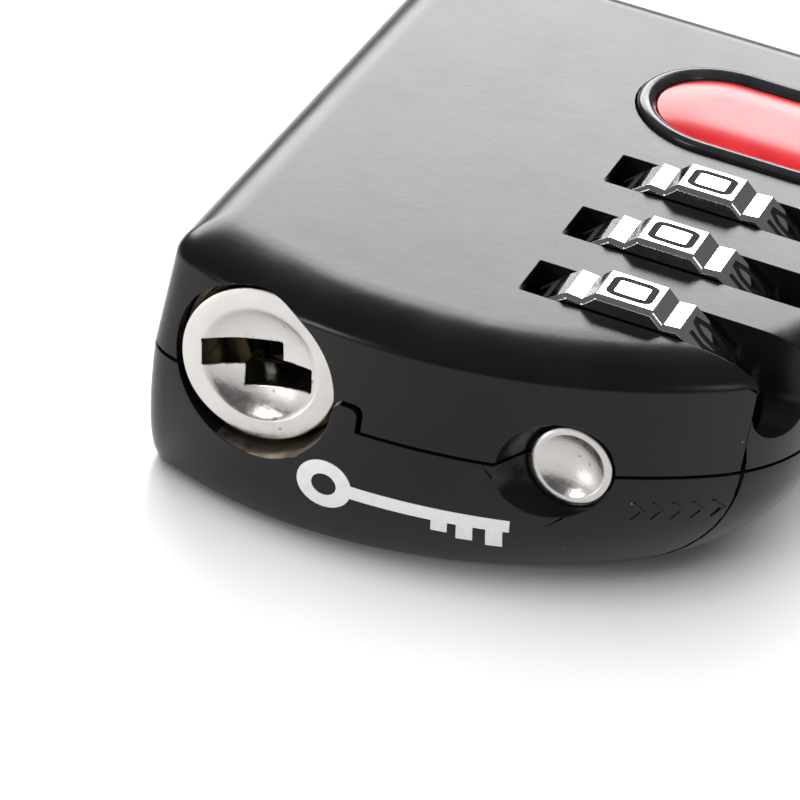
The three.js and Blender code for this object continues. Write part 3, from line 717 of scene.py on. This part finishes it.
DIGIT_LINES = {
    0: [rounded_ring(0.52, 0.80, 0.24)],
    1: [[(-0.28, 0.5), (0.08, 0.8), (0.08, -0.8)]],
    2: [[(-0.5, 0.42), (-0.4, 0.7), (-0.05, 0.82), (0.35, 0.72), (0.5, 0.42), (0.38, 0.1), (-0.5, -0.8),
         (0.55, -0.8)]],
    3: [[(-0.48, 0.8), (0.45, 0.8), (-0.02, 0.18), (0.34, 0.1), (0.52, -0.26), (0.38, -0.64), (0.0, -0.8),
         (-0.38, -0.7), (-0.52, -0.45)]],
    4: [[(0.22, -0.8), (0.22, 0.8), (-0.55, -0.35), (0.58, -0.35)]],
    5: [[(0.45, 0.8), (-0.4, 0.8), (-0.46, 0.08), (0.0, 0.2), (0.4, 0.06), (0.52, -0.3), (0.38, -0.66),
         (0.0, -0.8), (-0.5, -0.62)]],
    6: [[(0.4, 0.72), (0.0, 0.8), (-0.38, 0.5), (-0.52, -0.1), (-0.48, -0.5), (-0.2, -0.78), (0.2, -0.78),
         (0.5, -0.48), (0.48, -0.12), (0.2, 0.14), (-0.2, 0.14), (-0.5, -0.15)]],
    7: [[(-0.52, 0.8), (0.52, 0.8), (-0.1, -0.8)]],
    8: [rounded_ring(0.42, 0.36, 0.24), rounded_ring(0.52, 0.42, 0.28)],
    9: [[(-0.4, -0.72), (0.0, -0.8), (0.38, -0.5), (0.52, 0.1), (0.48, 0.5), (0.2, 0.78), (-0.2, 0.78),
         (-0.5, 0.48), (-0.48, 0.12), (-0.2, -0.14), (0.2, -0.14), (0.5, 0.15)]],
}
DIGIT_LINES[8] = [[(x, y + 0.42) for x, y in DIGIT_LINES[8][0]], [(x, y - 0.4) for x, y in DIGIT_LINES[8][1]]]
DIGIT_ROUND = 1.85
DIGIT_ALONG = 0.98


def stroke(line, half):
    """Left and right edges of a line drawn with a pen of that half width, with mitred corners."""
    closed = line[0] == line[-1]
    points = [Vector(p) for p in (line[:-1] if closed else line)]
    count = len(points)
    left, right = [], []
    for i, p in enumerate(points):
        before = points[i - 1] if closed or i else None
        after = points[(i + 1) % count] if closed or i < count - 1 else None
        d0 = (p - before).normalized() if before is not None else None
        d1 = (after - p).normalized() if after is not None else None
        d = ((d0 or d1) + (d1 or d0)).normalized()
        side = Vector((-d.y, d.x))
        lean = max(0.5, side.dot(Vector((-(d1 or d0).y, (d1 or d0).x))))
        push = d * half * (-1 if before is None else 1 if after is None else 0)
        left.append(p + side * half / lean + push)
        right.append(p - side * half / lean + push)
    return left, right, closed


def ribbon_solid(line, half, place, low, high):
    """A closed strip along a line: place(u, v, h) puts its points on the surface."""
    left, right, closed = stroke(line, half)
    count = len(left)
    verts, faces = [], []
    for p, q in zip(left, right):
        verts += [place(p.x, p.y, low), place(q.x, q.y, low), place(q.x, q.y, high), place(p.x, p.y, high)]
    for i in range(count if closed else count - 1):
        a, b = 4 * i, 4 * ((i + 1) % count)
        for j in range(4):
            k = (j + 1) % 4
            faces.append((a + j, a + k, b + k, b + j))
    if not closed:
        faces.append((3, 2, 1, 0))
        e = 4 * (count - 1)
        faces.append((e, e + 1, e + 2, e + 3))
    mesh = bpy.data.meshes.new("strip")
    mesh.from_pydata(verts, [], faces)
    o = bpy.data.objects.new("strip", mesh)
    bpy.context.collection.objects.link(o)
    pick(o)
    bpy.ops.object.mode_set(mode="EDIT")
    bpy.ops.mesh.select_all(action="SELECT")
    bpy.ops.mesh.normals_make_consistent(inside=False)
    bpy.ops.object.mode_set(mode="OBJECT")
    return o


def pad_place(index, centre):
    """Puts a digit's (across, round, height) on pad number index. Digits are read along the dial's axis."""
    angle = math.pi / 2 - index * math.radians(36)
    out = Vector((math.cos(angle), 0, math.sin(angle)))
    round_way = Vector((-math.sin(angle), 0, math.cos(angle)))
    flat = DIAL_R * math.cos(HALF_PAD)

    def place(u, v, h):
        p = Vector((centre.x, centre.y, centre.z)) + out * (flat + h)
        return p + Vector((0, 1, 0)) * v - round_way * u
    return place


DIAL_CHAMFER = 0.2
GROOVE_DEPTH = 0.36
FLANK_RECESS_R = 5.9
FLANK_RECESS_DEPTH = 0.09
SLEEVE_BORE = 3.44


def dial_blank(c):
    step = math.radians(36)
    groove = DIAL_R - GROOVE_DEPTH

    def ring(y, inset):
        out = []
        for i in range(10):
            mid = math.pi / 2 - i * step
            for r, a in ((DIAL_R, mid + HALF_PAD), (DIAL_R, mid - HALF_PAD), (groove, mid - step / 2)):
                r -= inset
                out.append(Vector((c.x + r * math.cos(a), y, c.z + r * math.sin(a))))
        return out
    half = DIAL_WIDTH / 2
    return loft([ring(c.y - half, DIAL_CHAMFER), ring(c.y - half + DIAL_CHAMFER, 0),
                 ring(c.y + half - DIAL_CHAMFER, 0), ring(c.y + half, DIAL_CHAMFER)])


class PADLOCK_OT_dials(bpy.types.Operator):
    """Cut the three number dials, their digits and the paint in the digits"""
    bl_idname = "padlock.dials"
    bl_label = "Dials"

    def execute(self, context):
        depth = sizes().digit_depth / MM
        half = sizes().digit_line / MM / 2
        first = DIALS[0]
        dial = dial_blank(first)
        combine(dial, rod(SLEEVE_BORE, first.y - 4, first.y + 4, first.x, first.z, 48))
        soften(dial, 0.05, 2, 12)
        fills = []
        for index in range(10):
            digit = (10 - index) % 10
            place = pad_place(index, first)
            for line in DIGIT_LINES[digit]:
                line = [(u * DIGIT_ROUND, v * DIGIT_ALONG) for u, v in line]
                combine(dial, ribbon_solid(line, half, place, -depth, 0.3), self_cut=True)
                fills.append(ribbon_solid(line, half * 0.985, place, -depth + 0.01, -depth * 0.15))
        recess = rod(FLANK_RECESS_R, first.y - DIAL_WIDTH, first.y - DIAL_WIDTH / 2 + FLANK_RECESS_DEPTH,
                     first.x, first.z, 64)
        combine(recess, rod(4.1, first.y - 6, first.y + 6, first.x, first.z, 48))
        combine(dial, recess)
        smooth(dial, 28)
        pick(fills[0])
        for o in fills:
            o.select_set(True)
        bpy.ops.object.join()
        fill = smooth(fills[0], 30, False)
        chrome = material("bright chrome", bright_chrome)
        paint = material("digit paint", digit_paint)
        for i, body in enumerate(("first_dial", "second_dial", "third_dial")):
            for source, name, finish, nodes in ((dial, "dial_ring", chrome, (f"dial_{i + 1}",)),
                                                (fill, "dial_digits", paint, ())):
                o = source.copy()
                o.data = source.data.copy()
                context.collection.objects.link(o)
                o.data.transform(Matrix.Translation((0, DIALS[i].y - first.y, 0)))
                finish_piece(o, f"{name}_{i + 1}", body, finish, nodes)
        for o in (dial, fill):
            bpy.data.objects.remove(o, do_unlink=True)
        return {"FINISHED"}


# ---- button and key plug -----------------------------------------------------------------------------
class PADLOCK_OT_button(bpy.types.Operator):
    """Turn the release button with its dished, grainy face"""
    bl_idname = "padlock.button"
    bl_label = "Release button"

    def execute(self, context):
        y = BUTTON_FACE
        rim = BUTTON_R * 0.80
        profile = [(0.02, y + 0.40)]
        for i in range(1, 13):
            r = rim * i / 12
            profile.append((r, y + 0.40 * (1 - (i / 12) ** 2.2) + 0.03))
        profile += [(rim + 0.06, y), (BUTTON_R - 0.16, y), (BUTTON_R - 0.05, y + 0.045), (BUTTON_R, y + 0.16),
                    (BUTTON_R, y + 1.6), (2.7, y + 1.6), (2.7, y + 2.35), (1.2, y + 2.35)]
        button = turned(profile, AXIS_X, AXIS_Z, 72)
        combine(button, rod(1.15, y + 1.15, y + 4, AXIS_X, AXIS_Z, 32))
        smooth(soften(button, 0.03, 2, 55), 40)
        metal = material("grained nickel button", satin_nickel, "grained nickel button",
                         0.55, 4300.0, (0.16, 0.28))
        finish_piece(button, "button_release", "button", metal, ("release_button",))
        return {"FINISHED"}


def keyway_section():
    points = [(-2.95, 0.72), (-2.95, -0.62), (-0.95, -0.42), (-0.95, -1.5), (2.55, -1.02), (2.55, 0.12),
              (0.95, 0.12), (0.95, 1.12)]
    turn = math.radians(-7)
    out = []
    for x, z in points:
        out.append((PLUG_X + x * math.cos(turn) + z * math.sin(turn),
                    PLUG_Z - x * math.sin(turn) + z * math.cos(turn)))
    return out


class PADLOCK_OT_plug(bpy.types.Operator):
    """Turn the key plug, dish its face and cut the stepped keyway and wafer slots"""
    bl_idname = "padlock.plug"
    bl_label = "Key plug"

    def execute(self, context):
        y = PLUG_FACE
        rim = PLUG_R * 0.735
        profile = [(0.02, y + 0.62)]
        for i in range(1, 17):
            t = i / 16
            profile.append((rim * t, y + 0.62 * (1 - t ** 2.6) + 0.02 * (1 - t)))
        profile += [(rim + 0.10, y - 0.0), (PLUG_R - 0.14, y), (PLUG_R - 0.04, y + 0.04), (PLUG_R, y + 0.15),
                    (PLUG_R, PLUG_HI.y)]
        plug = turned(profile, PLUG_X, PLUG_Z, 96)
        combine(plug, prism(keyway_section(), y - 1, PLUG_HI.y - 3, "Y"))
        for i in range(4):
            w = y + 3 + i * 2.2
            combine(plug, block(PLUG_X - 2.6, PLUG_X + 2.6, w - 0.1, w + 0.7, PLUG_Z - 5, PLUG_Z + 5))
        combine(plug, rod(0.75, PLUG_HI.y - 2.4, PLUG_HI.y + 2, PLUG_X, PLUG_Z, 32))
        smooth(soften(plug, 0.05, 2, 50), 40)
        metal = material("satin nickel plug", satin_nickel, "satin nickel plug", 0.5, 3000.0, (0.15, 0.26))
        finish_piece(plug, "plug_key", "key_core", metal, ("key_plug",))
        return {"FINISHED"}


# ---- shackle --------------------------------------------------------------------------------------------
class PADLOCK_OT_shackle(bpy.types.Operator):
    """Draw the shackle's wire up the long leg, round the bow and down the short leg"""
    bl_idname = "padlock.shackle"
    bl_label = "Shackle"

    def execute(self, context):
        sides = sizes().wire_sides
        path = []
        heel, toe = BODY_LENGTH - HEEL_DEPTH, BODY_LENGTH - TOE_DEPTH
        clip = heel + 0.6
        for r, y in ((0.9, heel), (1.3, heel + 0.06), (1.47, heel + 0.2), (1.5, clip - 0.05),
                     (1.05, clip - 0.04), (1.05, clip + 0.54), (1.5, clip + 0.55), (1.5, BODY_LENGTH),
                     (1.5, CROWN_Y)):
            path.append((Vector((SPAN, y, AXIS_Z)), Vector((0, 1, 0)), r))
        for i in range(1, 48):
            a = math.pi * i / 48
            path.append((Vector((SPAN * math.cos(a), CROWN_Y + SPAN * math.sin(a), AXIS_Z)),
                         Vector((-math.sin(a), math.cos(a), 0)), 1.5))
        for r, y in ((1.5, CROWN_Y), (1.5, BODY_LENGTH), (1.5, toe + 0.5), (1.42, toe + 0.2),
                     (1.2, toe + 0.05), (0.9, toe)):
            path.append((Vector((-SPAN, y, AXIS_Z)), Vector((0, -1, 0)), r))
        rings = []
        for p, along, r in path:
            side = along.cross(Vector((0, 0, 1)))
            r = r * WIRE_R / 1.5
            rings.append([p + side * (r * math.cos(t)) + Vector((0, 0, 1)) * (r * math.sin(t))
                          for t in (2 * math.pi * (k + 0.5) / sides for k in range(sides))])
        shackle = loft(rings)
        combine(shackle, block(-SPAN + 0.75, -SPAN + 4, 34.85, 36.65, AXIS_Z - 3, AXIS_Z + 3))
        smooth(soften(shackle, 0.05, 2, 50), 40)
        plate = material("bright chrome", bright_chrome)
        finish_piece(shackle, "shackle_bow_wire", "shackle_bow", plate, ("shackle",))
        return {"FINISHED"}


# How far in from the bezel's outline and how far above the face its rounded rim passes, in order.
BEZEL_PROFILE = ((0, 0.12), (0.06, 0.24), (0.2, 0.33), (0.36, 0.35), (0.6, 0.3), (0.82, 0.16),
                 (0.9, -0.02), (0.9, -0.35))


# ---- badge ------------------------------------------------------------------------------------------------
class PADLOCK_OT_badge(bpy.types.Operator):
    """Make the badge's raised bezel and its domed plain insert"""
    bl_idname = "padlock.badge"
    bl_label = "Badge"

    def execute(self, context):
        half = (BEZEL_HI.x - BEZEL_LO.x) / 2
        radius = (BEZEL_HI.y - BEZEL_LO.y) / 2
        mid = (BEZEL_LO + BEZEL_HI) / 2

        def ring(inset, z):
            outline = capsule_points(half - inset, radius - inset, mid.x, mid.y, 24)
            return [Vector((x, y, z)) for x, y in outline]
        bezel = loft([ring(0, BEZEL_LO.z)] + [ring(inset, FACE_Z + rise) for inset, rise in BEZEL_PROFILE])
        smooth(bezel, 40)
        finish_piece(bezel, "badge_frame", "body", material("gloss black bezel", gloss_black),
                     ("badge_bezel",))
        rings = [ring(1.0, FACE_Z - 0.3), ring(1.0, FACE_Z - 0.06), ring(1.05, FACE_Z + 0.02)]
        for i in range(1, 9):
            t = i / 8
            rings.append(ring(1.05 + 2.3 * t, FACE_Z + 0.02 + 0.22 * (1 - (1 - t) ** 2)))
        insert = loft(rings)
        smooth(insert, 40)
        finish_piece(insert, "badge_dome", "body", material("red badge resin", badge_resin),
                     ("badge_insert",))
        return {"FINISHED"}


# ---- marks on the end wall ----------------------------------------------------------------------------
def wall_place(x0, z0, scale):
    """Puts a mark's (u, v, h) on the rear cover's end wall, h standing out of it."""
    def place(u, v, h):
        x, z = x0 + u * scale, z0 + v * scale
        return Vector((x, wall_y(x, z) - h, z))
    return place


def wall_y(x, z):
    """The end wall's y at a place below the parting line."""
    share = 0.0
    if z < BACK_EDGE:
        cosine = 1 - z / BACK_EDGE
        share = 1 - math.sqrt(max(0.0, 1 - cosine * cosine))
    left, right, near, far = [inset * share for inset in BACK_INSETS]
    width = 2 * HALF_WIDTH
    px = ((x + HALF_WIDTH - left) / (width - left - right) * width - HALF_WIDTH)
    px /= 1 - FLARE / HALF_WIDTH
    return near + arc_y(px) / BODY_LENGTH * (BODY_LENGTH - near - far)


def subdivided(line, step=0.25):
    out = [line[0]]
    for a, b in zip(line, line[1:]):
        count = max(1, math.ceil(math.dist(a, b) / step))
        out += straight(a, b, count)
    return out


class PADLOCK_OT_marks(bpy.types.Operator):
    """Lay the white key mark and the raised chevrons on the rear cover's end wall"""
    bl_idname = "padlock.marks"
    bl_label = "End wall marks"

    def execute(self, context):
        scale = sizes().mark_height / MM / 2
        mid = (-1.15, 4.35)
        bow = [(math.cos(2 * math.pi * i / 28), math.sin(2 * math.pi * i / 28)) for i in range(28)]
        bow = [(-2.9 + 0.78 * u, 0.78 * v) for u, v in bow]
        lines = [bow + bow[:1], subdivided([(-2.1, 0), (3.6, 0)]), subdivided([(3.38, 0.0), (3.38, -0.86)]),
                 subdivided([(2.35, 0.0), (2.35, -0.72)]), subdivided([(1.45, 0.0), (1.45, -0.5)])]
        place = wall_place(mid[0], mid[1], scale)
        parts = [ribbon_solid(line, 0.29, place, -0.12, 0.03) for line in lines]
        mark = parts[0]
        for part in parts[1:]:
            combine(mark, part, "UNION")
        smooth(mark, 30, False)
        finish_piece(mark, "key_mark", "body", material("white fill paint", mark_paint))
        chevrons = []
        for i in range(5):
            place = wall_place(9.3 + 0.8 * i, 5.85, 1.0)
            chevrons.append(ribbon_solid([(-0.2, 0.5), (0.18, 0.0), (-0.2, -0.5)], 0.07, place, -0.1, 0.07))
        pick(chevrons[0])
        for o in chevrons:
            o.select_set(True)
        bpy.ops.object.join()
        smooth(soften(chevrons[0], 0.025, 2, 45), 40)
        paint = material("satin black paint", satin_paint)
        finish_piece(chevrons[0], "raised_chevrons", "body", paint)
        return {"FINISHED"}


# ---- springs -------------------------------------------------------------------------------------------
SPRING_TURNS = 4


def wound_spring(mid, along, length, outer, wire):
    """A coil spring of round wire wound about a line through mid."""
    across = Vector((0, 0, 1))
    other = along.cross(across)
    radius = outer - wire / 2
    rise = length - wire
    count = SPRING_TURNS * 24
    rings = []
    for i in range(count + 1):
        angle = 2 * math.pi * SPRING_TURNS * i / count
        out = across * math.cos(angle) + other * math.sin(angle)
        point = mid + along * (rise * (i / count - 0.5)) + out * radius
        rings.append([point + out * (wire / 2 * math.cos(t)) + along * (wire / 2 * math.sin(t))
                      for t in (2 * math.pi * k / 10 for k in range(10))])
    return loft(rings)


STEEL_NODES = ("dial_spindle", "latch", "shackle_clip", "key_cam", "cam_screw")


# ---- finishes of the inner pieces ---------------------------------------------------------------------
class PADLOCK_OT_inner(bpy.types.Operator):
    """Finish the springs, sleeves, wafers, latch and other inner pieces"""
    bl_idname = "padlock.inner"
    bl_label = "Inner pieces"

    def execute(self, context):
        steel = material("oiled steel", turned_metal, "oiled steel", (0.42, 0.43, 0.45), (0.62, 0.63, 0.65),
                         (0.22, 0.4))
        # Painted shade: the wafers' and clutch sleeves' brass is darker than clean brass, partly its own dull
        # tone and partly the shade of the deep keyway painted into its colour.
        brass = material("dull brass", turned_metal, "dull brass", (0.15, 0.115, 0.07), (0.27, 0.21, 0.13),
                         (0.25, 0.42), (1, 4, 1))
        ball = material("polished ball steel", turned_metal, "polished ball steel", (0.6, 0.6, 0.62),
                        (0.74, 0.74, 0.76), (0.06, 0.14))
        # Painted shade: the cylinder sleeve's brass is darkened far below its own tone, standing in for the
        # shade of the deep keyway it is seen through.
        dark = material("dark sleeve brass", turned_metal, "dark sleeve brass", (0.05, 0.04, 0.03),
                        (0.12, 0.09, 0.06), (0.35, 0.5))
        for name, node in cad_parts.items():
            if name == "cylinder_sleeve":
                metal = dark
            elif name.startswith(("clutch_sleeve", "wafer")):
                metal = brass
            elif name.startswith("detent_ball"):
                metal = ball
            elif name in ("button_spring", "latch_spring"):
                continue
            elif "spring" in name or name in STEEL_NODES:
                metal = steel
            else:
                continue
            if not node.data.materials:
                node.data.materials.append(metal)
            for s in range(len(node.data.materials)):
                node.data.materials[s] = metal
        for name, joint, along, wire in (("button_spring", "button_press", Vector((0, 1, 0)), 0.36),
                                         ("latch_spring", "latch_travel", Vector((1, 0, 0)), 0.28)):
            lo, hi = box_mm(name)
            length = (hi - lo).dot(along)
            coil = smooth(wound_spring((lo + hi) / 2, along, length, (hi.z - lo.z) / 2, wire), 50, False)
            finish_piece(coil, name + "_coil", "body", steel, (name,))
            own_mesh(coil)
        return {"FINISHED"}


# ---- camera, floor and light ----------------------------------------------------------------------------
def softbox(name, place, target, size, power, colour=(1, 1, 1)):
    data = bpy.data.lights.new(name, "AREA")
    data.shape = "RECTANGLE"
    data.size, data.size_y = size
    data.energy = power
    data.color = colour
    o = bpy.data.objects.new(name, data)
    bpy.context.collection.objects.link(o)
    o.location = place
    o.rotation_mode = "QUATERNION"
    o.rotation_quaternion = (Vector(target) - Vector(place)).to_track_quat("-Z", "Y")
    return o


def around(azimuth, elevation, distance):
    a, e = math.radians(azimuth), math.radians(elevation)
    return Vector((math.sin(a) * math.cos(e), math.cos(a) * math.cos(e), math.sin(e))) * distance


# Name, (azimuth, elevation, distance), size, watts and colour of each softbox.
WHITE = (1, 1, 1)
SOFTBOXES = (("back softbox", (-24, 24.5, 0.9), (0.80, 0.36), 8.0, WHITE),
             ("front softbox", (214, 19, 0.8), (0.34, 0.22), 2.2, (1.0, 0.985, 0.965)),
             ("right strip", (112, 24, 0.8), (0.10, 0.35), 0.5, WHITE))
CAMERA_PLACE = (45.98, -193.9, 114.2)
CAMERA_RIGHT = (0.9219, 0.3622, 0.1376)
CAMERA_BACK = (0.2419, -0.8155, 0.5258)
CAMERA_LENS = 193.5


class PADLOCK_OT_stage(bpy.types.Operator):
    """Set the pale floor, the soft lights and the camera"""
    bl_idname = "padlock.stage"
    bl_label = "Stage"

    def execute(self, context):
        deselect()
        bpy.ops.mesh.primitive_plane_add(size=3.0, location=(0, 0, 0))
        floor = context.object
        floor.name = "floor"
        m, tree, shader = new_material("seamless table")
        base = Vector(colours().floor)
        mottle = noise(tree, 40, 3)
        tone = ramp(tree, mottle.outputs["Fac"], tuple(base * 0.985), tuple(base))
        tree.links.new(tone, shader.inputs["Base Color"])
        tree.links.new(ranged(tree, mottle.outputs["Fac"], 0.20, 0.24), shader.inputs["Roughness"])
        shader.inputs["Specular IOR Level"].default_value = 0.25
        bumps(tree, shader, (mottle.outputs["Fac"], 0.02, 0.1))
        floor.data.materials.append(m)

        world = bpy.data.worlds.new("studio")
        context.scene.world = world
        world.use_nodes = True
        world.node_tree.nodes["Background"].inputs["Color"].default_value = (0.95, 0.96, 1.0, 1)
        world.node_tree.nodes["Background"].inputs["Strength"].default_value = 0.14

        focus = Vector((0, -0.02, 0.008))
        for name, direction, size, power, colour in SOFTBOXES:
            softbox(name, focus + around(*direction), focus, size, power, colour)
        overhead = softbox("overhead fill", focus + Vector((0.06, -0.05, 1.1)), focus, (1.5, 1.5), 20.0)
        overhead.visible_glossy = False

        right = Vector(CAMERA_RIGHT).normalized()
        back = Vector(CAMERA_BACK).normalized()
        up = back.cross(right).normalized()
        right = up.cross(back)
        data = bpy.data.cameras.new("view")
        data.lens = CAMERA_LENS
        data.sensor_width = 36.0
        data.clip_start = 0.01
        data.clip_end = 10.0
        camera = bpy.data.objects.new("view", data)
        context.collection.objects.link(camera)
        turn = Matrix((right, up, back)).transposed().to_4x4()
        camera.matrix_world = Matrix.Translation(Vector(CAMERA_PLACE) * MM) @ turn
        context.scene.camera = camera
        context.scene.view_settings.view_transform = "Standard"
        return {"FINISHED"}


OPERATORS = (
    PADLOCK_OT_covers, PADLOCK_OT_rivets, PADLOCK_OT_dials, PADLOCK_OT_button, PADLOCK_OT_plug,
    PADLOCK_OT_shackle, PADLOCK_OT_badge, PADLOCK_OT_marks, PADLOCK_OT_inner, PADLOCK_OT_stage,
)


class PADLOCK_PT_panel(bpy.types.Panel):
    """Buttons for each piece, with the sizes and colours they use"""
    bl_label = "Padlock"
    bl_idname = "PADLOCK_PT_panel"
    bl_space_type = "VIEW_3D"
    bl_region_type = "UI"
    bl_category = "Padlock"

    def draw(self, context):
        for op in OPERATORS:
            self.layout.operator(op.bl_idname)
        for group in (context.scene.padlock_sizes, context.scene.padlock_colours):
            for name in group.__annotations__:
                self.layout.prop(group, name)


CLASSES = (PadlockSizes, PadlockColours) + OPERATORS + (PADLOCK_PT_panel,)


def register():
    for c in CLASSES:
        bpy.utils.register_class(c)
    bpy.types.Scene.padlock_sizes = bpy.props.PointerProperty(type=PadlockSizes)
    bpy.types.Scene.padlock_colours = bpy.props.PointerProperty(type=PadlockColours)


def unregister():
    del bpy.types.Scene.padlock_colours
    del bpy.types.Scene.padlock_sizes
    for c in reversed(CLASSES):
        bpy.utils.unregister_class(c)


def main():
    register()
    for op in OPERATORS:
        group, name = op.bl_idname.split(".")
        getattr(getattr(bpy.ops, group), name)()


if __name__ == "__main__":
    main()
